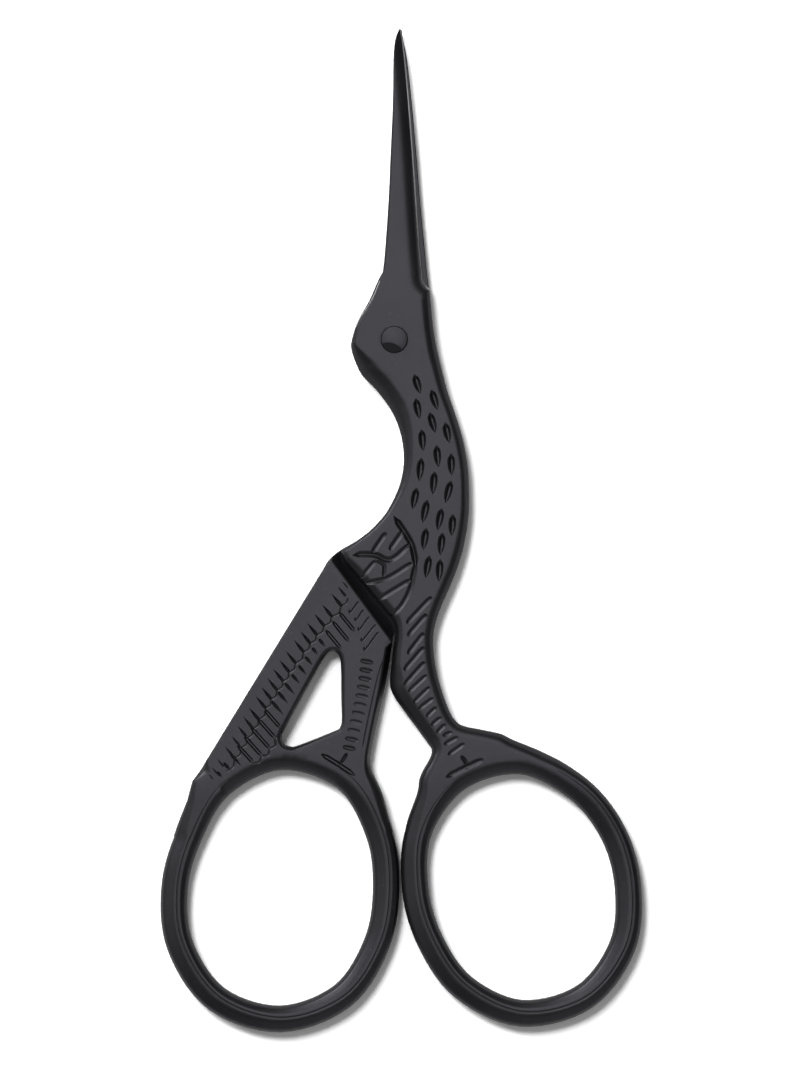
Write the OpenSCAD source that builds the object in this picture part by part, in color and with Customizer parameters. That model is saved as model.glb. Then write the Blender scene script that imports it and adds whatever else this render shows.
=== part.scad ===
// Stork embroidery scissors: two forged halves that lap at the head and turn on one rivet.
// The pivot axis is Z at the origin, the beak points along +Y and the back rests on Z = 0.

/* [Overall] */
// Length from the tip of the beak to the bottom of the finger bows
overall_l = 115; // [95:1:140]
// Thickness of the legs and the tail, and of the two lapped halves together
body_t = 3.6; // [3.4:0.1:4.2]
// Gap between the two lapped faces
lap_gap = 0.06; // [0.04:0.01:0.1]

/* [Blades] */
// Thickness of a blade's back at the tip
tip_t = 0.8; // [0.6:0.1:1.2]
// Thickness left at the cutting edge
edge_t = 0.25; // [0.2:0.05:0.4]
// Width of the bevel ground behind the cutting edge
bevel_w = 1.7; // [1.3:0.1:2]
// Distance up from the pivot at which the blades start to thin
taper_y = 5; // [4:0.5:8]

/* [Rivet] */
// Diameter of the shank
shank_d = 2.2; // [1.8:0.1:2.4]
// Radial clearance of the front half on the shank
run_gap = 0.04; // [0.02:0.01:0.08]
// Diameter of the domed head
head_d = 3.1; // [2.9:0.05:3.4]
// Height of the dome above the front face
head_h = 0.6; // [0.4:0.05:0.8]
// Diameter of the tail where it fills the countersink at the back
tail_d = 3; // [2.8:0.1:3.4]
// Depth of the countersink
sink_h = 0.5; // [0.4:0.05:0.7]

/* [Finger bows] */
// Width of a bow's band, seen from the front, at the 115 mm size
bow_w = 3.05; // [2.6:0.05:3.15]
// Thickness of a bow's band, front to back
bow_t = 3.3; // [2.6:0.1:3.3]
// Roundness of the band's section, where 2 is an oval
bow_power = 2.4; // [2:0.1:3]

/* [Hidden] */
k = overall_l / 115;
lap_z = body_t / 2;
front_lap_z = lap_z + lap_gap / 2;
back_lap_z = lap_z - lap_gap / 2;
shank_r = shank_d / 2;
bore_r = shank_r + run_gap;
black = [0.17, 0.17, 0.18];
round_n = 64;
bow_steps = 5;
bow_sides = 16;
cap_steps = 8;
far = 80;
over = 1;

// Outlines, seen from the front, in mm from the pivot at the 115 mm size. Each runs from beak to foot.
front_spine = [[0.55, 35.5], [0.1, 34.2], [-0.1, 31.9], [-0.15, 27.3], [-0.4, 21.6], [-0.65, 15.9], [-1.05, 10.2],
    [-1.3, 7.8]];
front_nape = [[-1.3, 7.8], [-1.7, 6.7], [-2.65, 4.5], [-4, 2.2], [-4.75, 0], [-4.75, -1.3], [-4.05, -3.45],
    [-3.2, -4.6], [-2.05, -5.75], [-0.35, -8.05], [0.6, -10.3], [1.05, -12.6], [1, -14.9], [0.4, -17.2],
    [-0.75, -19.5], [-1.6, -20.6], [-2.7, -21.75], [-4.2, -22.9], [-6, -24.1]];
front_lap_edge = [[-6, -24.1], [-5.85, -25.2], [-4.9, -26.4], [-2.9, -28.8], [-1, -31.1], [-0.15, -32.2], [0.1, -33.1]];
right_leg_inner = [[0.1, -33.1], [0.05, -34.2], [-0.15, -35.5], [-0.3, -36.9], [-0.5, -38.8], [-0.35, -40],
    [0.35, -41.2]];
right_heel = [[4.4, -46.6], [4.4, -47.2], [4.1, -48], [3.4, -49.2], [2.95, -50.3], [2.8, -51.4], [2.35, -52.6],
    [1.55, -54.8], [1.15, -56.6]];
right_foot = [[2.6, -57], [7.3, -50], [14.5, -48.1], [19, -49.7]];
right_toe = [[19, -48.1], [16.4, -46.9], [13.6, -45.8], [11.9, -45.15], [9.7, -44.6], [7.8, -44.15], [6.9, -43.4],
    [6.25, -42.3], [5.4, -40], [4.8, -37.7], [4.5, -35.5], [4.55, -33.2], [5.2, -30.9], [6.2, -28.6], [7.15, -26.3],
    [7.85, -24.1]];
breast = [[7.85, -24.1], [8.3, -21.8], [8.55, -19.5], [8.55, -17.2], [8.45, -14.9], [8.1, -12.6], [7.55, -10.3],
    [6.85, -8.1], [6.05, -5.8], [5.45, -3.5], [4.9, -1.2], [4.5, 1.1], [4.25, 3.4], [4.05, 5.6]];
front_edge = [[3.2, 7.9], [2.95, 10.2], [2.55, 15.9], [2.15, 21.6], [1.7, 27.3], [1.25, 31.9], [0.95, 34.5],
    [0.75, 35.5]];
back_spine = [[4.05, 5.6], [3.85, 6.8], [3.5, 10.2], [2.95, 15.9], [2.5, 21.6], [2, 27.3], [1.5, 31.9],
    [1.05, 34.2], [0.85, 35.5]];
back_edge = [[0.6, 35.3], [0.35, 34.2], [0.25, 31.9], [0.25, 27.3], [0, 21.6], [-0.25, 15.9], [-0.7, 10.2],
    [-0.9, 8.3]];
back_nape = [[-1.35, 7.7], [-1.85, 6.8], [-2.85, 4.5], [-4.15, 2.2], [-4.8, 0], [-4.8, -1.3], [-4.05, -3.45],
    [-3.2, -4.6], [-2.05, -5.75], [-0.35, -8.05], [0.6, -10.3], [1.05, -12.6], [1, -14.9], [0.4, -17.2],
    [-0.75, -19.5], [-1.6, -20.6], [-2.7, -21.75], [-4.2, -22.9], [-6.05, -24.05], [-7.35, -25.2], [-8.1, -26.3]];
tail_tip = [[-22.2, -49.25], [-22.85, -50.3], [-23.55, -52.6], [-24.4, -54.8]];
left_foot = [[-23.1, -55.9], [-19.85, -50.8], [-13, -47.6], [-5.55, -50], [-2.2, -54.8]];
left_heel = [[-0.65, -54.5], [-1.15, -52.6], [-1.5, -51.5], [-2.05, -50.3], [-2.6, -49.2], [-2.95, -48], [-2.8, -46.9],
    [-2.35, -44.6], [-1.85, -42.3], [-1.3, -40], [-0.8, -37.7], [-0.4, -35.5], [-0.15, -34.1], [0.1, -33.3]];
belly_edge = [[0.1, -33.3], [2.6, -30.3], [7.85, -24.1]];
window = [[-7.1, -35.6], [-7.9, -36.2], [-9.4, -38.8], [-12.5, -44.5], [-12.85, -45.4], [-12.55, -46.2], [-11.8, -46.5],
    [-10.8, -46.3], [-6.8, -44.7], [-6.2, -44.25], [-6, -43.4], [-6.05, -41.1], [-6.1, -37.1], [-6.45, -35.9]];

// Lap shoulders: the full thickness of each half starts on these lines.
back_shoulder = [[-7.6, -23.9], [-6.85, -24.9], [-0.35, -33.7], [0.1, -34.6]];
front_shoulder = [[9.3, -24], [8.8, -24.6], [0.9, -33.8], [0, -34.9]];

// Middle lines of the bows' bands.
left_bow = [[-0.9, -62.8], [-1.75, -56.3], [-5.55, -50], [-13, -47.6], [-19.85, -50.8], [-23.5, -56.7], [-25.15, -62.8],
    [-24.45, -69.4], [-20.25, -75.4], [-13, -77.65], [-5.9, -75], [-2, -69.1]];
right_bow = [[26.75, -62.6], [25, -56.5], [21.05, -51.3], [14.5, -48.1], [7.3, -50], [2.9, -55.8], [2.35, -62.6],
    [4.05, -68.65], [7.9, -74.05], [14.5, -77], [21.75, -75.1], [26.1, -69.3]];

// Height of the beak's tip. The ends of the two cutting edges, and the radii that their bevels run out on.
tip_y = 36.4;
front_edge_root = [3.22, 7.3];
front_edge_tip = [0.9, tip_y];
front_choil_r = 1.7;
back_edge_root = [-0.93, 8.3];
back_edge_tip = [0.42, tip_y];
back_choil_r = 0.6;
// Angles that the front edge runs out over and that a bevel is ground round its choil.
choil_start = 240;
choil_turn = 110;

// A smooth curve through a list of points, n steps to each span.
function blend(a, b, c, d, t) = (2 * b + (c - a) * t + (2 * a - 5 * b + 4 * c - d) * t * t
    + (3 * b - a - 3 * c + d) * t * t * t) / 2;
function curve(p, n = 3) = [for (i = [0 : len(p) - 2], j = [0 : n - 1])
    blend(p[max(i - 1, 0)], p[i], p[i + 1], p[min(i + 2, len(p) - 1)], j / n), p[len(p) - 1]];
function ring(p, n) = [for (i = [0 : len(p) - 1], j = [0 : n - 1])
    blend(p[(i + len(p) - 1) % len(p)], p[i], p[(i + 1) % len(p)], p[(i + 2) % len(p)], j / n)];
function open_end(p) = [for (i = [1 : len(p) - 1]) p[i]];
function unit(v) = v / norm(v);
function arc(c, r, a, b, n = 8) = [for (i = [0 : n]) c + r * [cos(a + (b - a) * i / n), sin(a + (b - a) * i / n)]];

// A slab of constant thickness on an outline.
module slab(outline, z0, z1) {
    translate([0, 0, z0]) linear_extrude(z1 - z0) polygon(k * outline);
}

// One finger bow: a band of rounded section swept along its middle line.
module bow(middle) {
    path = ring(k * middle, bow_steps);
    n = len(path);
    points = [for (i = [0 : n - 1], j = [0 : bow_sides - 1])
        let (along = unit(path[(i + 1) % n] - path[(i + n - 1) % n]), a = (j + 0.5) * 360 / bow_sides,
            across = sign(cos(a)) * pow(abs(cos(a)), 2 / bow_power) * k * bow_w / 2,
            up = sign(sin(a)) * pow(abs(sin(a)), 2 / bow_power) * bow_t / 2)
        [path[i].x + along.y * across, path[i].y - along.x * across, body_t / 2 + up]];
    faces = [for (i = [0 : n - 1], j = [0 : bow_sides - 1])
        let (i2 = (i + 1) % n, j2 = (j + 1) % bow_sides)
        [i * bow_sides + j, i * bow_sides + j2, i2 * bow_sides + j2, i2 * bow_sides + j]];
    polyhedron(points, faces, convexity = 4);
}

// The metal ground away behind a cutting edge on the right of an upright blade, above height z0.
module bevel_cut(root, tip, choil_r, z0, z1) {
    run = k * (tip - root);
    turn = atan2(-run.x, run.y);
    r = k * choil_r;
    profile = [[0, z0], [bevel_w, z1], [bevel_w, z1 + over], [-r, z1 + over], [-r, z0]];
    translate(k * root) rotate([0, 0, turn]) {
        translate([0, norm(run), 0]) rotate([90, 0, 0]) linear_extrude(norm(run))
            polygon([for (p = profile) [-p.x, p.y]]);
        translate([r, 0, 0]) rotate([0, 0, 180]) rotate_extrude(angle = choil_turn, $fn = round_n)
            polygon([for (p = profile) [p.x + r, p.y]]);
    }
}

// The wedge taken off a blade's outer face, from nothing at the head to the thickness at the tip.
module taper_cut(z_root, z_tip, z_out) {
    rotate([90, 0, 90]) linear_extrude(far, center = true)
        polygon([[taper_y, z_root], [k * tip_y, z_tip], [far, z_tip], [far, z_out], [taper_y, z_out]]);
}

// The half that shows its whole front: front blade, head, neck and wing, right leg and bow.
module front_half() {
    outline = concat(curve(front_spine), open_end(curve(front_nape)), open_end(curve(front_lap_edge)),
        open_end(curve(right_leg_inner)), curve(right_heel), right_foot, curve(right_toe), open_end(curve(breast)),
        arc(front_edge_root + [front_choil_r, 0], front_choil_r, choil_start, 180), open_end(curve(front_edge)));
    above_shoulder = concat(front_shoulder, [[-far, -far], [-far, far], [far, far], [far, front_shoulder[0].y]]);
    color(black) union() {
        difference() {
            slab(outline, 0, body_t);
            slab(above_shoulder, -over, front_lap_z);
            taper_cut(body_t, front_lap_z + tip_t, body_t + over);
            bevel_cut(front_edge_root, front_edge_tip, front_choil_r, front_lap_z + edge_t, body_t);
            translate([0, 0, -over]) cylinder(h = body_t + 2 * over, r = bore_r, $fn = round_n);
        }
        bow(right_bow);
    }
}

// The half behind it: rear blade, head and neck under the front half, tail, left leg and bow.
module back_half() {
    outline = concat(curve(back_spine), curve(back_edge), curve(back_nape), tail_tip, left_foot, curve(left_heel),
        open_end(belly_edge), open_end(curve(breast)));
    right_of_shoulder = concat(back_shoulder, [[back_shoulder[3].x, -far], [far, -far], [far, far], [-far, far],
        [-far, back_shoulder[0].y]]);
    color(black) difference() {
        union() {
            slab(outline, 0, body_t);
            bow(left_bow);
        }
        slab(right_of_shoulder, back_lap_z, body_t + over);
        taper_cut(0, back_lap_z - tip_t, -over);
        translate([0, 0, body_t]) rotate([0, 180, 0])
            bevel_cut([-back_edge_root.x, back_edge_root.y], [-back_edge_tip.x, back_edge_tip.y], back_choil_r,
                body_t - back_lap_z + edge_t, body_t);
        slab(ring(window, 3), -over, body_t + over);
        translate([0, 0, -over]) cylinder(h = body_t, r = shank_r, $fn = round_n);
        cylinder(h = sink_h, r1 = tail_d / 2, r2 = shank_r, $fn = round_n);
    }
}

// The rivet: tail spread in the countersink, shank through both halves, domed head on the front.
module pivot_rivet() {
    head_z = body_t + lap_gap / 2;
    head_r = head_d / 2;
    rim_h = head_h / 3;
    dome_h = head_h - rim_h;
    dome_r = (head_r * head_r + dome_h * dome_h) / (2 * dome_h);
    dome_a = asin(head_r / dome_r);
    color(black) rotate_extrude($fn = round_n)
        polygon(concat([[0, 0], [tail_d / 2, 0], [shank_r, sink_h], [shank_r, head_z], [head_r, head_z]],
            [for (i = [0 : cap_steps]) let (a = dome_a * (1 - i / cap_steps))
                [dome_r * sin(a), head_z + head_h - dome_r * (1 - cos(a))]]));
}

front_half();
back_half();
pivot_rivet();
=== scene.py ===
import math

import bpy
import numpy as np
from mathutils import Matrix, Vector
from mathutils.geometry import delaunay_2d_cdt


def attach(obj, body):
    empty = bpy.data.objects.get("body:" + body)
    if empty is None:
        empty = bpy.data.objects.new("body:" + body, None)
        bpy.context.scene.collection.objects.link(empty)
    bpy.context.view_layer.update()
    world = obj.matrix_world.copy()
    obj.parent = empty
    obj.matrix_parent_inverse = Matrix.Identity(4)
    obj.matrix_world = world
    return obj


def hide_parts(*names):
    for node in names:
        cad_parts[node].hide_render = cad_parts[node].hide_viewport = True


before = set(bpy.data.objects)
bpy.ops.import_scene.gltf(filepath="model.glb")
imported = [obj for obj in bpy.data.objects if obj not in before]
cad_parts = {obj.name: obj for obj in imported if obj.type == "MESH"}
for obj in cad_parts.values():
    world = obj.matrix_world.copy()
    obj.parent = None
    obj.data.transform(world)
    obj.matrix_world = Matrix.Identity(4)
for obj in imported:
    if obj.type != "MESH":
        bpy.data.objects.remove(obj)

bpy.context.view_layer.update()
mm = 0.001


# Camera.
# The scissors lie on a white table and are photographed from straight above through a long lens,
# so the view runs down the pivot's axis and the frame is 121.7 mm high at the front faces.
frame_height = 121.7 * mm
frame_middle = (0.66 * mm, -22.13 * mm)
front_face_z = 3.6 * mm
lens = bpy.data.cameras.new("long_lens")
lens.lens = 250
lens.sensor_width = 36
camera = bpy.data.objects.new("camera", lens)
distance = frame_height * lens.lens / lens.sensor_width
camera.location = (*frame_middle, front_face_z + distance)
bpy.context.collection.objects.link(camera)
bpy.context.scene.camera = camera
bpy.context.scene.view_settings.view_transform = "Standard"


# Front half.
# One drop forging with the front blade, the head, neck and wing, the right leg and its bow. It is rounded
# at its rims, its lapped face and cutting edge are ground, and the feathers are punched into it.
body_t = 3.6
lap_gap = 0.06
front_lap_z = body_t / 2 + lap_gap / 2
back_lap_z = body_t / 2 - lap_gap / 2
bore_r = 1.14
bow_outer_w = 1.49
bow_inner_w = 1.56
bow_t = 3.3
bow_top_y = -50
bow_ease = 7
facet_ease = 4
blade_root_y = 5
tip_y = 36.4
tip_t = 0.8


def smooth(points, steps=4, closed=False):
    """A flowing line through the points, as a batten bends round pins."""
    p = np.array(points, float)
    q = np.concatenate([p[-1:], p, p[:2]]) if closed else np.concatenate([p[:1], p, p[-1:]])
    t = np.arange(steps)[:, None] / steps
    runs = [(2 * b + (c - a) * t + (2 * a - 5 * b + 4 * c - d) * t ** 2
             + (3 * b - a - 3 * c + d) * t ** 3) / 2
            for a, b, c, d in zip(q, q[1:], q[2:], q[3:])]
    return np.concatenate(runs if closed else runs + [p[-1:]])


def beside(line, gap, closed=True):
    """The line moved sideways, to its right."""
    if closed:
        along = np.roll(line, -1, 0) - np.roll(line, 1, 0)
    else:
        along = np.gradient(line, axis=0)
    along = along / np.linalg.norm(along, axis=1)[:, None]
    return line + np.stack([along[:, 1], -along[:, 0]], 1) * np.asarray(gap)[..., None]


def pieces_of(line, step, closed=True):
    """The line with its long runs divided, so that no point is further than a step from the next."""
    out = []
    for a, b in zip(line, np.roll(line, -1, 0) if closed else line[1:]):
        n = max(1, math.ceil(math.dist(a, b) / step))
        out += [a + (b - a) * i / n for i in range(n)]
    return np.array(out if closed else out + [line[-1]])


def nearest(places, a, b):
    """How far each place is from the nearest of the runs a to b, which run that is and how far along it."""
    gap, run, part = np.empty(len(places)), np.empty(len(places), int), np.empty(len(places))
    ab = b - a
    size = np.maximum((ab * ab).sum(1), 1e-12)
    batch = 3000
    for first in range(0, len(places), batch):
        now = slice(first, first + batch)
        rel = places[now, None] - a
        t = np.clip((rel * ab).sum(2) / size, 0, 1)
        d = np.linalg.norm(rel - t[..., None] * ab, axis=2)
        k = d.argmin(1)
        rows = np.arange(len(k))
        gap[now], run[now], part[now] = d[rows, k], k, t[rows, k]
    return gap, run, part


def from_line(places, line):
    return nearest(places, line[:-1], line[1:])[0]


def inside(places, loop):
    """True for the places that the loop goes round."""
    a, b = loop, np.roll(loop, -1, 0)
    odd = np.zeros(len(places), bool)
    for (x0, y0), (x1, y1) in zip(a, b):
        if y0 != y1:
            crosses = (y0 > places[:, 1]) != (y1 > places[:, 1])
            odd ^= crosses & (places[:, 0] < x0 + (places[:, 1] - y0) * (x1 - x0) / (y1 - y0))
    return odd


def sheet(points, lines):
    """Triangles with edges on the lines: their corners, the faces, and where each point went."""
    found = delaunay_2d_cdt([Vector(p) for p in points], lines, [], 0, 1e-5)
    corners = np.array([v[:] for v in found[0]])
    faces = np.array(found[2])
    p, q, r = (corners[faces[:, i]] for i in range(3))
    turn = (q[:, 0] - p[:, 0]) * (r[:, 1] - p[:, 1]) - (q[:, 1] - p[:, 1]) * (r[:, 0] - p[:, 0])
    faces[turn < 0] = faces[turn < 0][:, ::-1]
    went = {old: new for new, olds in enumerate(found[3]) for old in olds}
    return corners, faces[abs(turn) > 1e-9], went


def circle(r, corners=48):
    """A circle round the pivot, whose last point is its first again."""
    turns = np.linspace(0, 2 * np.pi, corners + 1)
    return r * np.stack([np.cos(turns), np.sin(turns)], 1)


def rims_of(faces):
    """The loops of corners round a set of triangles, each with the metal on its left."""
    sides = {(int(f[i]), int(f[(i + 1) % 3])) for f in faces for i in range(3)}
    after = {a: b for a, b in sides if (b, a) not in sides}
    loops = []
    while after:
        start, here = after.popitem()
        loop = [start]
        while here != start:
            loop.append(here)
            here = after.pop(here)
        loops.append(loop)
    return loops


least_apart = 0.03


def forging_outline(plate, bow, bore_r, window, steps):
    """The rims of a half, as loops of points: its outline, its opening, its bore and any window."""
    sliver_corners = 8
    on_step = 0.002
    rim_step = 0.42
    outer, inner = beside(bow, bow_outer_w), beside(bow, -bow_inner_w)
    bore = circle(bore_r)[:-1]
    shapes = [plate, outer, inner, bore] + ([window] if window is not None else [])
    points, lines = [], []
    for shape in shapes:
        first = len(points)
        points += list(shape)
        lines += [(first + i, first + (i + 1) % len(shape)) for i in range(len(shape))]
    for step in steps:
        first = len(points)
        points += list(step)
        lines += [(first + i, first + i + 1) for i in range(len(step) - 1)]
    corners, faces, _ = sheet(points, lines)
    middles = corners[faces].mean(1)
    metal = inside(middles, plate) | (inside(middles, outer) & ~inside(middles, inner))
    metal &= ~inside(middles, bore)
    if window is not None:
        metal &= ~inside(middles, window)
    loops = []
    for loop in rims_of(faces[metal]):
        line = corners[loop]
        if len(line) > sliver_corners:
            apart = np.linalg.norm(line - np.roll(line, 1, 0), axis=1)
            from_step = np.min([from_line(line, step) for step in steps], axis=0)
            keep = (apart > least_apart) | (from_step < on_step)
            loops.append(pieces_of(line[keep], rim_step))
    return loops


sharp_rim = (0.05, 0.03, 0.04, 0.01)


def rounding_marks(loops, marks):
    """The rounding at each rim point, eased from mark to mark along its loop. A mark is x, y, then the
    width and drop of the steep outer part, and those of the easy inner part that runs into the flat."""
    marks = np.array(marks, float)
    loop_of = [int(np.argmin([np.hypot(*(loop - m[:2]).T).min() for loop in loops])) for m in marks]
    rims = []
    for i, loop in enumerate(loops):
        own = marks[[k == i for k in loop_of]]
        if not len(own):
            rims.append(np.tile(sharp_rim, (len(loop), 1)))
            continue
        run = np.concatenate([[0], np.cumsum(np.linalg.norm(np.roll(loop, -1, 0) - loop, axis=1))])
        at = run[[np.hypot(*(loop - m[:2]).T).argmin() for m in own]]
        order = at.argsort()
        eased = [np.interp(run[:-1], at[order], own[order, k], period=run[-1]) for k in (2, 3, 4, 5)]
        rims.append(np.stack(eased, 1))
    return rims


def rounded_off(places, loops, rims):
    """How far the rounding lies below the flat at each place, and how far the place is from the rim."""
    a, b = np.concatenate(loops), np.concatenate([np.roll(loop, -1, 0) for loop in loops])
    ra, rb = np.concatenate(rims), np.concatenate([np.roll(rim, -1, 0) for rim in rims])
    gap, run, part = nearest(places, a, b)
    steep_w, steep_d, easy_w, easy_d = (ra[run] * (1 - part[:, None]) + rb[run] * part[:, None]).T
    steep = 1 - np.clip(gap / steep_w, 0, 1)
    easy = 1 - np.clip((gap - steep_w) / easy_w, 0, 1)
    bend, straight = 0.35, 0.75
    facet = np.where(easy < bend, easy ** 2 / (2 * bend), easy - bend / 2) / (1 - bend / 2)
    on_bow = np.clip((bow_top_y - places[:, 1]) / facet_ease, 0, 1)
    easy = easy ** 2 * (1 - on_bow) + facet * on_bow
    steep = straight * steep + (1 - straight) * (1 - np.sqrt(1 - steep ** 2))
    return steep_d * steep + easy_d * easy, gap


steep_parts = (0.15, 0.4, 0.7, 1)
easy_parts = (0.2, 0.45, 0.65, 0.83, 1.03)


def rim_lines(loops, rims):
    """Lines inside each rim, close together where the rounding is steep, broken where they meet another's."""
    out = []
    a, b = np.concatenate(loops), np.concatenate([np.roll(loop, -1, 0) for loop in loops])
    for loop, rim in zip(loops, rims):
        inward = beside(loop, -1) - loop
        last = np.zeros(len(loop))
        for steep, easy in [(part, 0) for part in steep_parts] + [(1, part) for part in easy_parts]:
            away = steep * rim[:, 0] + easy * rim[:, 2]
            line = loop + inward * away[:, None]
            kept = (nearest(line, a, b)[0] > 0.95 * away) & (away > last + least_apart)
            last[kept] = away[kept]
            out.append((line, kept))
    return out


to_lower_right = np.array((0.707, -0.707))


class Stroke:
    """One punched or chased stroke: its middle line, its half width and depth along it, how much of it is
    flat floor, and how far the tool leaned, which moves the floor towards the lower right."""

    def __init__(self, line, half, depth, floor, lean=0.0):
        self.line = np.array(line, float)
        self.half = np.broadcast_to(half, len(self.line)).astype(float)
        self.depth = np.broadcast_to(depth, len(self.line)).astype(float)
        self.floor = floor
        self.lean = lean

    def floor_to(self, way):
        """The part of the half width that is floor, in a direction from the middle line."""
        return self.floor * (1 + self.lean * (way @ to_lower_right))

    def outline(self, part, more=0.0):
        """A closed line round the stroke, at the edge of its floor for 0, at its rim for 1."""
        along = np.gradient(self.line, axis=0)
        along = along / np.linalg.norm(along, axis=1)[:, None]
        right = np.stack([along[:, 1], -along[:, 0]], 1)

        def out(middle, half, way):
            floor = self.floor_to(way)
            reach = np.maximum(half * (floor + (1 - floor) * part) + more, 0.012)
            return middle + way * np.asarray(reach)[..., None]

        ends = []
        for end, ahead in ((-1, along[-1]), (0, -along[0])):
            turns = math.atan2(ahead[1], ahead[0]) + np.pi * np.array((0.25, 0, -0.25))
            ways = np.stack([np.cos(turns), np.sin(turns)], 1)
            ends.append(out(self.line[end], self.half[end], ways))
        left_side = out(self.line, self.half, -right)
        right_side = out(self.line, self.half, right)
        return np.concatenate([left_side, ends[0], right_side[::-1], ends[1]])

    def below(self, places):
        """Depth of the stroke at each place."""
        out = np.zeros(len(places))
        reach = self.half.max() + 0.01
        low, high = self.line.min(0) - reach, self.line.max(0) + reach
        near = ((places > low) & (places < high)).all(1).nonzero()[0]
        if len(near):
            gap, run, part = nearest(places[near], self.line[:-1], self.line[1:])
            half = self.half[run] * (1 - part) + self.half[run + 1] * part
            depth = self.depth[run] * (1 - part) + self.depth[run + 1] * part
            middle = self.line[run] * (1 - part[:, None]) + self.line[run + 1] * part[:, None]
            floor = self.floor_to((places[near] - middle) / np.maximum(gap, 1e-9)[:, None])
            wall = np.clip((1 - gap / np.maximum(half, 1e-6)) / (1 - floor), 0, 1)
            out[near] = depth * (1 - np.cos(np.pi * wall)) / 2
        return out


mesh_step = 0.8


def forged_face(loops, rims, strokes, lines, height):
    """One face of a half as triangles: its corners, their heights, the faces, the corners on the rims, and at
    each corner the distance from the rim and the depth of any stroke. The lines are kept as edges, and height
    gives the face's height from the places and the drop of the rounding and strokes there."""
    margin = 0.07
    clearance = 0.15
    points, edges = [], []

    def draw(line, closed=False, kept=None):
        kept = np.ones(len(line), bool) if kept is None else kept
        at = len(points) + np.cumsum(kept) - 1
        points.extend(line[kept])
        for i in range(len(line) if closed else len(line) - 1):
            j = (i + 1) % len(line)
            if kept[i] and kept[j]:
                edges.append((int(at[i]), int(at[j])))

    for loop in loops:
        draw(loop, True)
    rim_count = len(points)
    for line in lines:
        draw(line)
    a, b = np.concatenate(loops), np.concatenate([np.roll(loop, -1, 0) for loop in loops])
    low, high = a.min(0), a.max(0)
    spread = np.arange(low[0], high[0], mesh_step), np.arange(low[1], high[1], mesh_step)
    loose = np.stack(np.meshgrid(*spread), -1).reshape(-1, 2)
    gap, run, _ = nearest(loose, a, b)
    widths = np.concatenate(rims)[run]
    loose = loose[gap > np.maximum(1.08 * (widths[:, 0] + widths[:, 2]) + clearance, 2 * clearance)]
    clear = np.ones(len(loose), bool)
    for line in lines:
        clear &= from_line(loose, line) > clearance
    rounds = rim_lines(loops, rims)
    for stroke in strokes:
        around = stroke.outline(1, margin)
        for line, kept in rounds + [(loose, clear)]:
            close = ((line > around.min(0)) & (line < around.max(0))).all(1).nonzero()[0]
            kept[close[inside(line[close], around)]] = False
    for line, kept in rounds:
        draw(line, True, kept)
    points.extend(loose[clear])
    for stroke in strokes:
        draw(stroke.outline(1, margin), True)
        for part in (1, 0.5, 0):
            draw(stroke.outline(part), True)
        draw(stroke.line)
    corners, faces, went = sheet(points, edges)
    middles = corners[faces].mean(1)
    metal = np.zeros(len(faces), bool)
    for loop in loops:
        metal ^= inside(middles, loop)
    faces = faces[metal]
    drop, gap = rounded_off(corners, loops, rims)
    cut = np.zeros(len(corners))
    for stroke in strokes:
        cut = np.maximum(cut, stroke.below(corners))
    return corners, height(corners, drop + cut), faces, [went[i] for i in range(rim_count)], gap, cut


def forge(name, loops, front, back):
    """The closed solid of a half between its front face and its back face, with walls round its rims."""
    xy_f, z_f, faces_f, rim_f, gap_f, cut_f = front
    xy_b, z_b, faces_b, rim_b, gap_b, cut_b = back
    shift = len(xy_f)
    verts = np.concatenate([np.column_stack([xy_f, z_f]), np.column_stack([xy_b, z_b])]) * mm
    faces = [tuple(map(int, f)) for f in faces_f] + [tuple(int(i) + shift for i in f[::-1]) for f in faces_b]
    first = 0
    for loop in loops:
        n = len(loop)
        for i in range(n):
            a, b = first + i, first + (i + 1) % n
            faces.append((rim_f[b], rim_f[a], rim_b[a] + shift, rim_b[b] + shift))
        first += n
    mesh = bpy.data.meshes.new(name)
    mesh.from_pydata([tuple(v) for v in verts], [], faces)
    piece = bpy.data.objects.new(name, mesh)
    bpy.context.collection.objects.link(piece)
    for label, values in (("rim_gap", (gap_f, gap_b)), ("stroke_depth", (cut_f, cut_b))):
        measure = mesh.attributes.new(label, "FLOAT", "POINT")
        measure.data.foreach_set("value", np.concatenate(values).astype(np.float32))
    bpy.ops.object.select_all(action="DESELECT")
    bpy.context.view_layer.objects.active = piece
    piece.select_set(True)
    bpy.ops.object.mode_set(mode="EDIT")
    bpy.ops.mesh.select_all(action="SELECT")
    bpy.ops.mesh.delete_loose()
    bpy.ops.mesh.select_all(action="SELECT")
    bpy.ops.mesh.fill_holes(sides=12)
    bpy.ops.mesh.select_all(action="SELECT")
    bpy.ops.mesh.normals_make_consistent(inside=False)
    bpy.ops.object.mode_set(mode="OBJECT")
    bpy.ops.object.shade_smooth_by_angle(angle=math.radians(50))
    return piece


def flat_top(places):
    """The front faces before any rounding: level over the body, and easing down to the bows."""
    bow = np.clip((bow_top_y - places[:, 1]) / bow_ease, 0, 1)
    return body_t - (body_t - bow_t) / 2 * bow * bow * (3 - 2 * bow)


def thinned(places, root_z, tip_z):
    """A height that changes evenly from the root of the blade to its tip."""
    return np.interp(places[:, 1], [blade_root_y, tip_y], [root_z, tip_z])


def arc(centre, r, start, end, n=8):
    turns = np.radians(np.linspace(start, end, n + 1))
    return np.array(centre) + r * np.stack([np.cos(turns), np.sin(turns)], 1)


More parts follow.
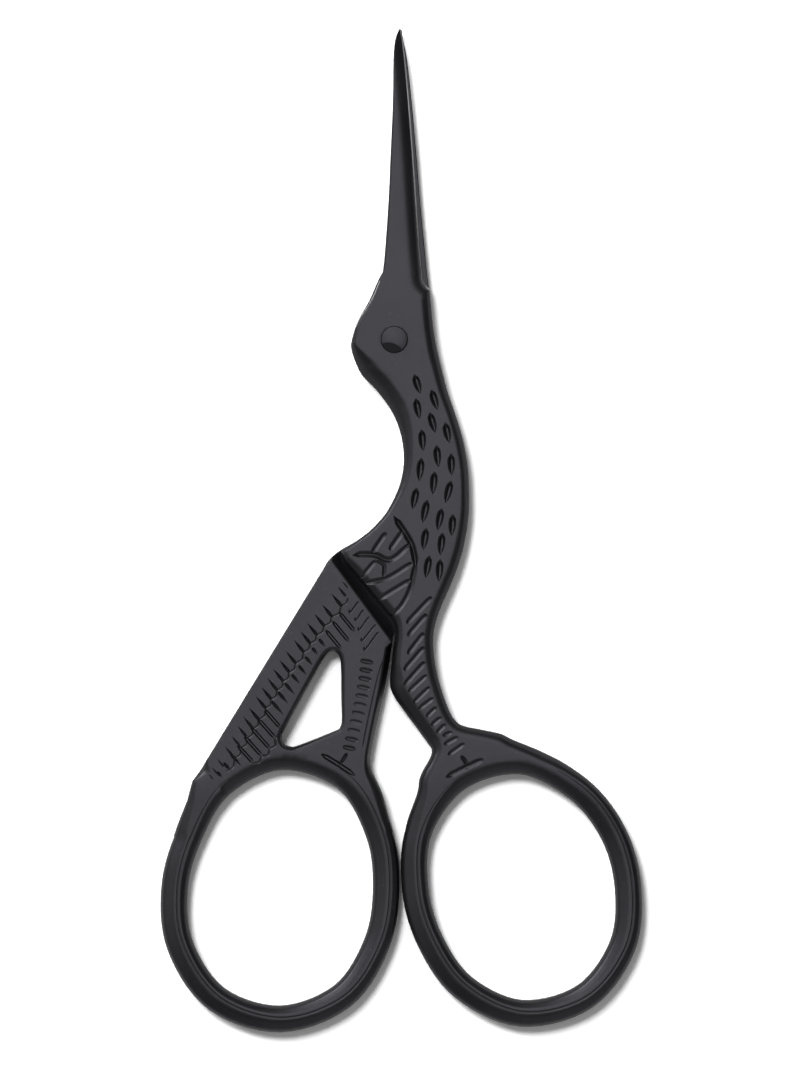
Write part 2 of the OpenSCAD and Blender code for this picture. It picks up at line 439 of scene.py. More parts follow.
spine = [(0.55, 35.5), (0.1, 34.2), (-0.1, 31.9), (-0.15, 27.3), (-0.4, 21.6), (-0.65, 15.9), (-1.05, 10.2),
         (-1.3, 7.8)]
neck_back = [(-4.05, -3.45), (-3.2, -4.6), (-2.05, -5.75), (-0.35, -8.05), (0.6, -10.3), (1.05, -12.6),
             (1, -14.9), (0.4, -17.2), (-0.75, -19.5), (-1.6, -20.6), (-2.7, -21.75), (-4.2, -22.9)]
nape = [(-1.3, 7.8), (-1.7, 6.7), (-2.65, 4.5), (-4.07, 2.25), (-4.83, 0), (-4.83, -1.3), *neck_back,
        (-6.05, -24.05)]
lap_edge = [(-6, -24.1), (-5.85, -25.2), (-4.9, -26.4), (-2.9, -28.8), (-1, -31.1), (-0.15, -32.2),
            (0.1, -33.1)]
leg_inner = [(0.1, -33.1), (0.05, -34.2), (-0.15, -35.5), (-0.3, -36.9), (-0.5, -38.8), (-0.38, -40),
             (0.27, -41.25)]
heel = [(4.24, -46.66), (4.28, -47.2), (3.98, -48), (3.28, -49.2), (2.85, -50.3), (2.72, -51.4),
        (2.35, -52.6), (1.55, -54.8), (1.15, -56.6)]
foot = [(2.6, -57), (7.3, -50), (14.5, -48.1), (19, -49.7)]
toe = [(19, -48.1), (16.4, -46.85), (13.6, -45.72), (12.7, -45.25), (11.9, -44.95), (9.7, -44.5),
       (7.8, -44.1), (6.9, -43.4), (6.25, -42.3), (5.4, -40), (4.8, -37.7), (4.5, -35.5), (4.55, -33.2),
       (5.2, -30.9), (6.2, -28.6), (7.15, -26.3), (7.85, -24.1)]
breast = [(7.85, -24.1), (8.3, -21.8), (8.55, -19.5), (8.55, -17.2), (8.45, -14.9), (8.1, -12.6),
          (7.55, -10.3), (6.85, -8.1), (6.05, -5.8), (5.45, -3.5), (4.9, -1.2), (4.5, 1.1), (4.25, 3.4),
          (4.05, 5.6)]
edge = [(3.2, 7.9), (2.95, 10.2), (2.55, 15.9), (2.15, 21.6), (1.7, 27.3), (1.25, 31.9), (0.95, 34.5),
        (0.75, 35.5)]
front_cut = np.concatenate([arc((4.92, 7.3), 1.7, 240, 180), smooth(edge, 3)])
front_plate = np.concatenate([smooth(spine, 3), smooth(nape, 3)[1:], smooth(lap_edge, 3)[1:],
                              smooth(leg_inner, 3)[1:], smooth(heel, 3), foot, smooth(toe, 3),
                              smooth(breast, 3)[1:], front_cut[:9], smooth(edge, 3)[1:]])
bow_steps = 7
right_bow = smooth([(26.75, -62.6), (25.08, -56.42), (21.05, -51.3), (14.5, -48.1), (7.3, -50),
                    (2.9, -55.8), (2.35, -62.6), (4.05, -68.65), (7.9, -74.05), (14.5, -77), (21.75, -75.1),
                    (26.1, -69.3)], bow_steps, True)
front_shoulder = pieces_of(np.array([(9.3, -24), (8.8, -24.6), (0.9, -33.8), (0, -34.9)]), 0.4, False)
shoulder_wall = 0.02
front_shoulder_top = beside(front_shoulder, -shoulder_wall, False)

front_loops = forging_outline(front_plate, right_bow, bore_r, None, [front_shoulder, front_shoulder_top])
bow_lean = np.array((0.42, 0.25))
foot_reach = 7


def bow_rounding(bow, foot):
    """Marks all round a bow, whose crown leans to the upper right, except beside its foot."""
    marks = []
    outward = beside(bow, 1) - bow
    for at, out in list(zip(bow, outward))[::bow_steps]:
        if math.dist(at, foot) > foot_reach:
            for side in (1, -1):
                easy = 0.92 - side * out @ bow_lean
                marks.append((*(at + side * out * bow_outer_w), 0.35, 0.8, easy, 0.1 + 0.26 * easy))
    return marks


def bow_line(bow, foot):
    """A faint flow line along the crown of a bow, from one side of its foot to the other."""
    outward = beside(bow, 1) - bow
    line = bow + outward * (outward @ bow_lean)[:, None]
    start = np.hypot(*(line - foot).T).argmin()
    line = np.roll(line, -start, 0)
    line = line[np.hypot(*(line - foot).T) > foot_reach - 1]
    ends = np.interp(np.arange(len(line)), [0, 8, len(line) - 9, len(line) - 1], [0.3, 1, 1, 0.3])
    return Stroke(line, 0.12 * ends, 0.045 * ends, 0.15)


front_rounding = [
    (0.65, 35.5, 0.06, 0.05, 0.15, 0.03), (-0.15, 27.3, 0.08, 0.08, 0.2, 0.04),
    (-0.65, 15.9, 0.08, 0.1, 0.2, 0.04), (-1.3, 7.8, 0.1, 0.1, 0.2, 0.05),
    (-2.65, 4.5, 0.15, 0.25, 0.2, 0.06), (-4.4, 1.5, 0.2, 0.3, 0.25, 0.08),
    (-4.75, -0.6, 0.25, 0.45, 0.35, 0.12), (-4.6, -2.1, 0.4, 0.55, 1.1, 0.5),
    (-4.05, -3.45, 0.35, 0.4, 1.85, 1.0), (-2.05, -5.75, 0.35, 0.4, 1.85, 1.0),
    (-0.35, -8.05, 0.35, 0.4, 1.7, 0.85), (0.6, -10.3, 0.4, 0.5, 1.3, 0.5),
    (1.05, -12.6, 0.5, 0.55, 0.8, 0.22), (-0.75, -19.5, 0.35, 0.4, 0.5, 0.07),
    (-4.2, -22.9, 0.3, 0.35, 0.4, 0.06), (-6, -24.1, 0.3, 0.6, 0.4, 0.12),
    (-4.9, -26.4, 0.35, 1, 0.9, 0.28), (-1, -31.1, 0.35, 1, 0.9, 0.28), (0.1, -33.1, 0.4, 1, 0.6, 0.2),
    (-0.3, -36.9, 0.4, 0.9, 0.7, 0.3), (-0.5, -38.8, 0.4, 0.8, 1.35, 0.6),
    (0.35, -41.2, 0.4, 0.8, 1.45, 0.65), (4.2, -46.3, 0.4, 0.8, 1.2, 0.5),
    (4.4, -47.4, 0.35, 0.8, 0.7, 0.25), (2.95, -50.3, 0.35, 0.8, 0.8, 0.25),
    (22.1, -50.2, 0.38, 0.8, 0.5, 0.18), (17, -47.2, 0.5, 0.85, 0.75, 0.26),
    (9.7, -44.6, 0.4, 0.6, 0.75, 0.22), (6.9, -43.4, 0.4, 0.6, 0.8, 0.22),
    (4.5, -35.5, 0.4, 0.65, 0.85, 0.24), (7.85, -24.1, 0.5, 0.8, 0.75, 0.22),
    (8.5, -17.2, 0.55, 0.85, 0.5, 0.14), (6.85, -8.1, 0.5, 0.8, 0.6, 0.18),
    (4.9, -1.2, 0.45, 0.7, 0.85, 0.28), (4.05, 5.6, 0.35, 0.55, 0.9, 0.3),
    (3.75, 6.2, 0.04, 0.02, 0.05, 0.01), (3.2, 7.9, 0.04, 0.02, 0.05, 0.01),
    (0.95, 34.5, 0.04, 0.02, 0.05, 0.01), (14.5, -49.6, 0.4, 0.8, 1.3, 0.5),
    (8.2, -51.2, 0.4, 0.8, 1.3, 0.5)] + bow_rounding(right_bow, (12.5, -48.4))
front_rims = rounding_marks(front_loops, front_rounding)


def feather(start, end, half=0.43, depth=0.4):
    """A leaf-shaped dent from a leaning curved punch, blunt and deep above, pointed and rising below."""
    part = np.linspace(0, 1, 13)
    leaf = np.interp(part, [0, 0.06, 0.2, 0.4, 0.6, 0.8, 0.93, 1],
                     [0.35, 0.7, 0.95, 1, 0.92, 0.6, 0.25, 0.05])
    line = np.array(start) * (1 - part[:, None]) + np.array(end) * part[:, None]
    deep = np.interp(part, [0, 0.1, 0.3, 1], [0.3, 0.9, 1, 0.45])
    return Stroke(line, half * leaf, depth * deep, 0.24, 0.6)


def chased(points, half=0.34, depth=0.25, floor=0.12, start=0.7, end=0.7, lean=0.0):
    """A groove chased along a line, with its start and end narrowed."""
    line = pieces_of(smooth(points, 4), 0.22, False)
    part = np.linspace(0, 1, len(line))
    ends = np.interp(part, [0, 0.12, 0.88, 1], [start, 1, 1, end])
    return Stroke(line, half * ends, depth * np.clip(ends * 1.3, 0.3, 1), floor, lean)


neck_feathers = [
    (2.35, -4.15, 3, -6.2), (4.3, -5.9, 4.95, -8.05), (2.5, -6.9, 2.9, -9.05), (4.1, -8.5, 4.7, -10.65),
    (5.85, -9.65, 6.3, -11.8), (3.15, -10.45, 3.3, -12.7), (4.85, -12.25, 5.05, -14.55),
    (6.5, -13.2, 6.55, -15.5), (3.1, -13.7, 2.85, -16.15), (4.6, -15.25, 4.4, -17.65),
    (6.45, -16.3, 5.85, -18.65), (2.55, -17.1, 2.1, -19.35), (3.75, -18.5, 3.25, -20.9),
    (5.4, -19.45, 4.95, -21.75), (6.7, -20.15, 6.55, -22.4), (3.65, -21.7, 3.3, -24),
    (5.5, -22.25, 5.25, -24.6), (4, -24.85, 3.6, -27.2), (5.25, -25.25, 5.1, -27.6)]
neck_strokes = [feather((a, b), (c, d)) for a, b, c, d in neck_feathers]
wing_strokes = [
    chased([(-0.05, -20.15), (1.75, -22.9), (2.3, -24.6), (2.4, -25.65)], 0.38, 0.36, 0.15, 0.15, 0.6, 0.3),
    chased([(2.4, -25.8), (2.2, -26.8), (1.85, -28.45), (0.9, -30.3), (-0.3, -31.5)], 0.34, 0.22),
    chased([(-1.05, -22.2), (-2.4, -24.2)]),
    chased([(0.95, -21.95), (-0.4, -23.85)], 0.36),
    chased([(-4.7, -24.65), (-3.65, -24.5), (-2.1, -24.6), (-0.85, -25.15), (0.2, -24.8), (1.7, -23.4)],
           0.38, 0.27, 0.15, 0.2),
    chased([(-2.25, -25.35), (-3.7, -27.1)], 0.3, 0.22),
    chased([(-1.9, -25.3), (-1.15, -25.75), (-1.2, -26.95)], 0.24, 0.15),
    chased([(-3.1, -27.75), (-1.25, -27.4), (0.2, -26.7), (1.85, -25.6)]),
    chased([(-1.7, -29.6), (1.75, -27.5)])]
thigh_strokes = [chased([(a, b), (c, d)], 0.32, 0.24) for a, b, c, d in (
    (4.15, -29.5, 1.55, -32.25), (3.6, -31.45, 1.65, -33.7), (3.3, -33.6, 1.65, -35.75),
    (3.3, -35.2, 1.25, -37.6), (3.4, -36.9, 1.25, -39.3))]
right_leg_strokes = [chased([(a, b), (c, d)], 0.29, 0.2) for a, b, c, d in (
    (3.6, -38.4, 1.75, -40.1), (3.95, -39.75, 2.35, -41.3), (4.35, -41, 2.95, -42.05),
    (4.7, -42.05, 3.8, -42.95), (5.25, -43.2, 4.35, -43.95), (5.75, -44, 4.95, -44.8),
    (6.45, -44.85, 5.7, -45.15), (7.1, -45.45, 5.85, -46.15), (7.85, -46.2, 6.3, -47.3))]
right_foot_strokes = [chased([(10.1, -47.9), (8, -48.9), (6, -49.9)], 0.36, 0.26, 0.2, 0.4, 0.4),
                      chased([(7.7, -47.6), (8.15, -48.2), (8.2, -48.8)], 0.24, 0.2)]
front_strokes = neck_strokes + wing_strokes + thigh_strokes + right_leg_strokes + right_foot_strokes
front_strokes.append(bow_line(right_bow, (12.5, -48.4)))


bevel_w = 1.7
bevel_drop = 0.6
edge_t = 0.25
micro_slope = 3.6
ground_w = 0.14
shoulder_round = 0.3


def bevel_lines(cut, bare_w):
    """Lines beside a cutting edge, close together where its bevel is steep."""
    return [beside(cut, -away, False) for away in (0.05, bare_w, 0.25, 0.5, 0.8, 1.15, 1.6)]


def bevel(from_edge):
    """How far the bevel lies below the flat."""
    rise = 1 - (1 - np.clip(from_edge / bevel_w, 0, 1)) ** 2
    return bevel_drop * (1 - rise)


def shoulder_drop(places, shoulder, depth):
    """How far the rounding beside the edge of a shoulder lies below the flat."""
    step = np.clip(from_line(places, shoulder) / shoulder_round, 0, 1)
    return depth * (1 - np.sqrt(1 - (1 - step) ** 2))


def front_face(places, lower):
    top = np.minimum(flat_top(places), thinned(places, body_t, front_lap_z + tip_t))
    from_edge = from_line(places, front_cut)
    z = np.minimum(top - lower, top - bevel(from_edge))
    return np.minimum(z, front_lap_z + edge_t + micro_slope * from_edge)


lapped_drop = 0.05
lapped_rim = (0.05, 0.03, 0.06, 0.01)
front_back_rounding = [m[:2] + (lapped_rim if m[1] > -25 or (m[0] < 0.3 and m[1] > -34.3) else m[2:])
                       for m in front_rounding]
front_back_rounding += [(0, -34.6) + lapped_rim, (-0.05, -35, 0.35, 0.5, 0.3, 0.1),
                        (7.95, -23.8) + lapped_rim, (7.5, -25.4, 0.4, 0.4, 0.5, 0.1)]
front_back_rims = rounding_marks(front_loops, front_back_rounding)
lapped_side = np.concatenate([beside(front_shoulder, -shoulder_wall / 2, False),
                              [(-60, -34.9), (-60, 60), (60, 60), (60, -24)]])


def front_back_face(places, lower):
    lapped = inside(places, lapped_side)
    own = body_t - flat_top(places) + np.maximum(lower, shoulder_drop(places, front_shoulder, depth=0.15))
    return np.where(lapped, front_lap_z + np.minimum(lower, lapped_drop), own)


front_half = forge("front_half_forging", front_loops,
                   forged_face(front_loops, front_rims, front_strokes, bevel_lines(front_cut, ground_w),
                               front_face),
                   forged_face(front_loops, front_back_rims, right_leg_strokes + right_foot_strokes,
                               [front_shoulder, front_shoulder_top], front_back_face))


class Value:
    """A number or colour in a material, on which sums can be written."""

    def __init__(self, finish, socket):
        self.finish, self.socket = finish, socket

    def __add__(self, other):
        return self.finish.sum("ADD", self, other)

    def __sub__(self, other):
        return self.finish.sum("SUBTRACT", self, other)

    def __rsub__(self, other):
        return self.finish.sum("SUBTRACT", other, self)

    def __mul__(self, other):
        return self.finish.sum("MULTIPLY", self, other)

    __radd__ = __add__

    def held(self, low, high):
        """Eased from 0 at low to 1 at high."""
        return self.finish.node("ShaderNodeMapRange", {"interpolation_type": "SMOOTHSTEP"},
                                {"Value": self, "From Min": low, "From Max": high})


class Finish:
    """A surface finish being mixed, with its shader and whatever feeds it."""

    def __init__(self, name, room=None, **fixed):
        self.material = room or bpy.data.materials.new(name)
        self.material.use_nodes = True
        self.tree = self.material.node_tree
        self.shader = self.tree.nodes["Background" if room else "Principled BSDF"]
        for socket, value in fixed.items():
            self.shader.inputs[socket.replace("_", " ")].default_value = value

    def node(self, kind, settings=None, inputs=None, out=0):
        node = self.tree.nodes.new(kind)
        for name, value in (settings or {}).items():
            setattr(node, name, value)
        for name, value in (inputs or {}).items():
            self.feed(node.inputs[name], value)
        return Value(self, node.outputs[out])

    def sum(self, operation, *terms):
        return self.node("ShaderNodeMath", {"operation": operation}, dict(enumerate(terms)))

    def feed(self, socket, value):
        if isinstance(value, Value):
            self.tree.links.new(value.socket, socket)
        else:
            socket.default_value = value

    def give(self, **inputs):
        for name, value in inputs.items():
            self.feed(self.shader.inputs[name.replace("_", " ")], value)

    def place(self, stretch=(1, 1, 1)):
        """Places on the piece in millimetres."""
        at = self.node("ShaderNodeTexCoord", out="Object")
        return self.node("ShaderNodeMapping", {}, {"Vector": at, "Scale": [1000 * s for s in stretch]})

    def speckle(self, size, stretch=(1, 1, 1), detail=2.0):
        return self.node("ShaderNodeTexNoise", {},
                         {"Vector": self.place(stretch), "Scale": 1 / size, "Detail": detail})

    def mix(self, part, first, second):
        return self.node("ShaderNodeMix", {"data_type": "RGBA"}, {"Factor": part, 6: first, 7: second}, 2)

    def measured(self, name):
        return self.node("ShaderNodeAttribute", {"attribute_name": name}, {}, "Fac")

    def along(self, direction, way):
        """How far a direction points a given way."""
        return self.node("ShaderNodeVectorMath", {"operation": "DOT_PRODUCT"},
                         {0: direction, 1: way}, "Value")

    def rays(self):
        """Three numbers, 1 for what the camera sees, for what is mirrored and for what shows through."""
        kinds = "Is Camera Ray", "Is Glossy Ray", "Is Transmission Ray"
        return [self.node("ShaderNodeLightPath", {}, {}, kind) for kind in kinds]


black = Finish("satin_black_coating", Specular_IOR_Level=0.31, IOR=1.5, Specular_Tint=(0.96, 0.94, 1.06, 1))
broad, fine, grit = black.speckle(6), black.speckle(0.5), black.speckle(0.09, detail=1.0)
facing_up = black.along(black.node("ShaderNodeNewGeometry", out="Normal"), (0, 0, 1))
on_face = (facing_up * facing_up).held(0.1, 0.5)
rim = on_face - on_face * black.measured("rim_gap").held(0.0, 0.12)
worn = (rim * (broad + fine * 0.5).held(0.72, 0.95)).held(0.1, 1.0)
dust = black.speckle(0.35, detail=0.0).held(0.80, 0.84)
dark = black.mix(broad.held(0.3, 0.7), (0.0055, 0.0055, 0.0063, 1), (0.0078, 0.0078, 0.0087, 1))
# Painted shade: the coat is drawn darker inside the punched strokes, darkest where they are deepest.
dark = black.mix(black.measured("stroke_depth").held(0.02, 0.2), dark, (0.003, 0.003, 0.0035, 1))
black.give(Base_Color=black.mix(worn * 0.35 + dust * 0.08, dark, (0.12, 0.12, 0.125, 1)),
           Roughness=0.27 + fine * 0.05 + grit * 0.05 - worn * 0.05)
black.give(Normal=black.node("ShaderNodeBump", {},
                             {"Strength": 0.12, "Distance": 0.03 * mm, "Height": grit + fine}))

# Bare steel for the ground cutting edges; it is also painted along a strip of rim as a highlight.
bare = Finish("bare_steel_and_painted_highlight", Metallic=1.0)
streaks = bare.speckle(0.05, (1, 0.15, 1))
bare.give(Base_Color=bare.mix(streaks, (0.42, 0.42, 0.43, 1), (0.62, 0.62, 0.63, 1)),
          Roughness=0.28 + streaks * 0.15)

# Painted highlight: a strip of bright bare steel along the head's left rim, where the rim catches the light.
painted_highlight_rim = smooth(nape, 3)[3:11]
painted_highlight_w = 0.09


def each_face(piece, what):
    values = np.empty(len(piece.data.polygons) * 3)
    piece.data.polygons.foreach_get(what, values)
    return values.reshape(-1, 3)


def coat(half, cut, side, highlight_rim=None):
    """Gives a half its coating, with bare steel beside its cutting edge, and bare steel painted along a strip
    of rim as a highlight where the rim catches the light.
    """
    half.data.materials.append(black.material)
    half.data.materials.append(bare.material)
    middles, normals = each_face(half, "center") / mm, each_face(half, "normal")
    ground = (from_line(middles[:, :2], cut) < ground_w) & (normals[:, 2] * side > -0.5)
    # Painted highlight: the given strip of rim gets the bright bare steel.
    if highlight_rim is not None:
        on_rim = (normals[:, 2] > 0.2) & (middles[:, 2] > front_lap_z)
        ground |= (from_line(middles[:, :2], highlight_rim) < painted_highlight_w) & on_rim
    half.data.polygons.foreach_set("material_index", ground.astype(np.int32))


coat(front_half, front_cut, 1, painted_highlight_rim)
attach(front_half, "front_lever")
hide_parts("front_half")


# Back half.
# The other forging: rear blade, the head and neck behind the front half, tail, left leg with its window,
# and the left bow. It is made like the front half, and its tail carries two rows of feathers.
shank_r = 1.1
sink_h = 0.5
tail_d = 3
back_spine = [(4.05, 5.6), (3.85, 6.8), (3.5, 10.2), (2.95, 15.9), (2.5, 21.6), (2, 27.3), (1.5, 31.9),
              (1.05, 34.2), (0.85, 35.5)]
back_edge = [(0.6, 35.3), (0.35, 34.2), (0.25, 31.9), (0.25, 27.3), (0, 21.6), (-0.25, 15.9), (-0.7, 10.2),
             (-0.9, 8.3)]
back_nape = [(-1.35, 7.7), (-1.85, 6.8), (-2.85, 4.5), (-4.15, 2.2), (-4.86, 0), (-4.86, -1.3), *neck_back,
             (-6.12, -24), (-7.43, -25.12), (-8.15, -26.27)]
tail_tip = [(-22.2, -49.25), (-23.05, -50.4), (-23.65, -52.6), (-24.45, -54.6), (-24.8, -55.5),
            (-25.2, -56.7)]
left_foot = [(-24.2, -58), (-23.1, -55.9), (-19.85, -50.8), (-13, -47.6), (-5.55, -50), (-1.8, -57)]
left_heel = [(-0.15, -56.2), (-0.35, -55.4), (-0.65, -54.5), (-1.15, -52.6), (-1.5, -51.5), (-2.05, -50.3),
             (-2.6, -49.2), (-2.75, -48), (-2.6, -46.9), (-2.13, -44.6), (-1.63, -42.3), (-1.1, -40),
             (-0.67, -37.7), (-0.35, -35.5), (-0.15, -34.1), (0.1, -33.3)]
belly = [(2.6, -30.3), (7.85, -24.1)]
window = smooth([(-7.1, -35.6), (-7.9, -36.2), (-9.4, -38.8), (-12.5, -44.5), (-12.85, -45.4),
                 (-12.55, -46.2), (-11.8, -46.5), (-10.8, -46.3), (-6.8, -44.7), (-6.2, -44.25),
                 (-6, -43.4), (-6.05, -41.1), (-6.1, -37.1), (-6.45, -35.9)], 4, True)
back_cut = smooth(back_edge, 3)
back_plate = np.concatenate([smooth(back_spine, 3), back_cut, smooth(back_nape, 3), tail_tip, left_foot,
                             smooth(left_heel, 3), belly, smooth(breast, 3)[1:-1]])
left_bow = smooth([(-0.9, -62.8), (-1.75, -56.3), (-5.55, -50), (-13, -47.6), (-19.85, -50.8),
                   (-23.5, -56.7), (-25.15, -62.8), (-24.45, -69.4), (-20.25, -75.4), (-13, -77.65),
                   (-5.9, -75), (-2, -69.1)], bow_steps, True)
back_shoulder = pieces_of(np.array([(-8.5, -22.9), (-7.84, -24.05), (-7.09, -25.08), (-0.59, -33.88),
                                   (-0.05, -34.7), (0.1, -36)]), 0.4, False)
back_shoulder_foot = beside(back_shoulder, -shoulder_wall, False)
back_loops = forging_outline(back_plate, left_bow, shank_r, window, [back_shoulder, back_shoulder_foot])
back_rounding = [
    (0.7, 35.4, 0.06, 0.05, 0.15, 0.03), (1.75, 29.6, 0.08, 0.08, 0.2, 0.04),
    (3.5, 10.2, 0.1, 0.12, 0.3, 0.06), (4.9, -1.2, 0.45, 0.7, 0.85, 0.28),
    (8.5, -17.2, 0.57, 0.8, 0.65, 0.18), (7.85, -24.1, 0.5, 0.75, 0.85, 0.24),
    (2.6, -30.3, 0.4, 0.6, 0.5, 0.2), (0.1, -33.3, 0.35, 0.7, 0.35, 0.12),
    (-1.5, -51.5, 0.35, 0.7, 0.8, 0.25), (-24.8, -56, 0.35, 0.8, 1, 0.35),
    (-22.85, -50.3, 0.25, 0.4, 0.3, 0.06), (-21.6, -48.3, 0.15, 0.25, 0.25, 0.03),
    (-15, -37.6, 0.15, 0.25, 0.25, 0.03), (-8.1, -26.3, 0.15, 0.25, 0.25, 0.03),
    (-4.2, -22.9, 0.3, 0.35, 0.4, 0.06), (-0.75, -19.5, 0.35, 0.4, 0.5, 0.07),
    (1.05, -12.6, 0.5, 0.55, 0.8, 0.22), (-0.35, -8.05, 0.35, 0.4, 1.7, 0.85),
    (-4.05, -3.45, 0.35, 0.4, 1.85, 1.0), (-4.6, -2.1, 0.4, 0.55, 1.1, 0.5),
    (-4.75, -0.6, 0.25, 0.45, 0.35, 0.12), (-2.65, 4.5, 0.15, 0.25, 0.2, 0.06),
    (-1.35, 7.7, 0.1, 0.1, 0.2, 0.05), (-0.9, 8.3, 0.04, 0.02, 0.05, 0.01),
    (0.5, 34.8, 0.04, 0.02, 0.05, 0.01), (-13, -49.2, 0.4, 0.8, 1.3, 0.5), (-7, -50.8, 0.4, 0.8, 1.3, 0.5),
    (-18.8, -52, 0.4, 0.8, 1.3, 0.5), (-7.1, -35.6, 0.3, 0.7, 0.3, 0.1), (-12.5, -44.5, 0.3, 0.7, 0.3, 0.1),
    (-6.1, -44.2, 0.16, 0.6, 0.25, 0.08)] + bow_rounding(left_bow, (-13, -47.6))
leg_back_rounding = [(-0.4, -35.5, 0.45, 0.75, 0.35, 0.12), (-1.85, -42.3, 0.45, 0.7, 0.35, 0.1),
                     (-2.95, -48, 0.45, 0.7, 0.4, 0.12)]
leg_front_rounding = [(-0.35, -35.2, 0.62, 2, 0.2, 0.06), (-0.67, -37.7, 0.68, 2, 0.2, 0.06),
                      (-1.63, -42.3, 0.55, 1.9, 0.2, 0.06), (-2.7, -48, 0.42, 1.5, 0.3, 0.1)]
back_rims = rounding_marks(back_loops, back_rounding + leg_back_rounding)
back_front_rounding = [m[:2] + (lapped_rim if m[1] > -24 or (m[0] > 0 and m[1] > -34) else m[2:])
                       for m in back_rounding] + leg_front_rounding
back_front_rounding += [(-8, -26, 0.2, 0.3, 0.35, 0.05), (-7.4, -25.3, 0.2, 0.3, 0.3, 0.05),
                        (-6.7, -24.5) + lapped_rim, (-0.25, -34.4) + lapped_rim]
back_front_rims = rounding_marks(back_loops, back_front_rounding)


def wedge(start, end, half, depth):
    """A dent that starts at a point and widens to a blunt end."""
    part = np.linspace(0, 1, 8)
    line = np.array(start) * (1 - part[:, None]) + np.array(end) * part[:, None]
    wide = np.interp(part, [0, 0.65, 1], [0.12, 1, 0.85])
    return Stroke(line, half * wide, depth * np.clip(wide * 1.3, 0.2, 1), 0.08)


outer_count = 22
outer_tips = smooth([(-5.9, -27.6), (-10.1, -32.6), (-14.1, -38.15), (-17.65, -43.85), (-21.2, -49.5)], 22)
outer_ends = outer_tips + np.array((1.1, -1.35))
row = np.linspace(0, len(outer_tips) - 1, outer_count).round().astype(int)
sizes = np.interp(np.arange(outer_count), [0, 2, 14, outer_count - 1], [0.5, 1, 0.95, 0.45])
outer_row = []
for i, size in zip(row, sizes):
    end = outer_tips[i] + (outer_ends[i] - outer_tips[i]) * size
    outer_row.append(wedge(outer_tips[i], end, 0.2 * size, 0.3 * size))


def scalloped(ends, bulge=0.2):
    """A shallow line round the ends of a row of feathers, bulging between its points."""
    line = []
    for a, b in zip(ends, ends[1:]):
        away = np.array([a[1] - b[1], b[0] - a[0]])
        line += [a, (a + b) / 2 + away * bulge]
    return chased(line + [ends[-1]], 0.13, 0.07, 0.1)


outer_row.append(scalloped(outer_ends[row[1:-2]] + np.array((0.03, -0.04))))
inner_lengths = (2.57, 2.78, 2.55, 1.03, 0.84, 1.1, 1.22, 1.26, 1.5, 1.57, 1.92, 2.5, 2.8, 3.06, 2.8, 2.47,
                 1.65, 1.08, 0.68)
long_wedge = 2
inner_row = []
for i, length in enumerate(inner_lengths):
    part = i / (len(inner_lengths) - 1)
    start = np.array((-6.17 - 13.93 * part, -31.24 - 18.19 * part))
    turn = math.radians(-51 + 4 * part)
    end = start + length * np.array((math.cos(turn), math.sin(turn)))
    if length > long_wedge:
        inner_row.append(chased([start, end], 0.24, 0.3, 0.3, 0.6, 0.4))
    else:
        inner_row.append(wedge(end, start, 0.2, 0.28))
long_ends = [stroke.line[-1] for stroke, length in zip(inner_row, inner_lengths) if length > long_wedge]
inner_row.append(scalloped([p + np.array((0.03, -0.08)) for p in long_ends[-5:]], 0.3))
thigh_marks = [chased([(a, b), (c, d), (c - 0.12, d + 0.3)], 0.1, 0.1, 0.1) for a, b, c, d in (
    (-4.1, -29.9, -5, -31.15), (-3.55, -30.85, -4.35, -32.05), (-2.9, -31.65, -3.95, -33.15),
    (-2.15, -32.55, -3.6, -34.35), (-1.85, -33.4, -3.3, -35.4))]
leg_depths = (0.14, 0.13, 0.1, 0.08, 0.06, 0.05, 0.05, 0.04, 0.05, 0.1, 0.14)
leg_marks = []
for i, depth in enumerate(leg_depths):
    part = i / (len(leg_depths) - 1)
    x, y = -3.1 - 2 * part ** 1.4, -36.75 - 9.85 * part
    leg_marks.append(chased([(x - 0.55, y + 0.1), (x + 0.5, y - 0.12)], 0.28, 1.1 * depth, 0.4, 0.8, 0.8))
left_foot_strokes = [chased([(-8.2, -47.35), (-6.4, -48.45), (-4.6, -49.65)], 0.3, 0.3, 0.3, 0.5, 0.5),
                     chased([(-5.45, -47.3), (-5.75, -47.8), (-6.1, -48.45)], 0.22, 0.25)]
leg_border = chased([(-1.15, -36.2), (-1.9, -38.6), (-2.75, -42.3), (-3.6, -46.4)], 0.07, 0.05, 0.1, 0.3, 0.3)
tail_strokes = outer_row + inner_row + thigh_marks + leg_marks + left_foot_strokes
tail_strokes += [leg_border, bow_line(left_bow, (-13, -47.6))]
full_side = np.concatenate([beside(back_shoulder, -shoulder_wall / 2, False),
                            [(60, -36), (60, -90), (-60, -90), (-60, 0)]])
fillet_h = 1.3
fillet_w = 1.2
fillet_bend = 1.6
lap_clear = np.array((-0.03, -0.02))
lap_line = pieces_of(smooth(lap_edge, 3), 0.4, False) + lap_clear
lap_runs = lap_line[:-1], lap_line[1:]
_, run, part = nearest(back_shoulder_foot, *lap_runs)
across = lap_runs[0][run] + (lap_runs[1] - lap_runs[0])[run] * part[:, None]
shoulder_lines = [back_shoulder, back_shoulder_foot]
shoulder_lines += [beside(back_shoulder, shoulder_round * part, False) for part in (0.15, 0.4, 0.7, 1)]
shoulder_lines += [(back_shoulder_foot * (1 - part) + across * part)[4:-4]
                   for part in (0.15, 0.35, 0.6, 0.8)]
shoulder_lines.append(lap_line[1:-1])


def back_front_face(places, lower):
    full = inside(places, full_side)
    own = flat_top(places) - np.maximum(lower, shoulder_drop(places, back_shoulder, depth=0.2))
    from_foot, from_lap = from_line(places, back_shoulder_foot), from_line(places, lap_line)
    fillet = fillet_h * (from_lap / (from_foot + from_lap + 1e-9)) ** fillet_bend
    fillet[inside(places, front_plate + lap_clear) | (from_foot > fillet_w)] = 0
    return np.where(full, own, back_lap_z - np.minimum(lower, lapped_drop) + fillet)


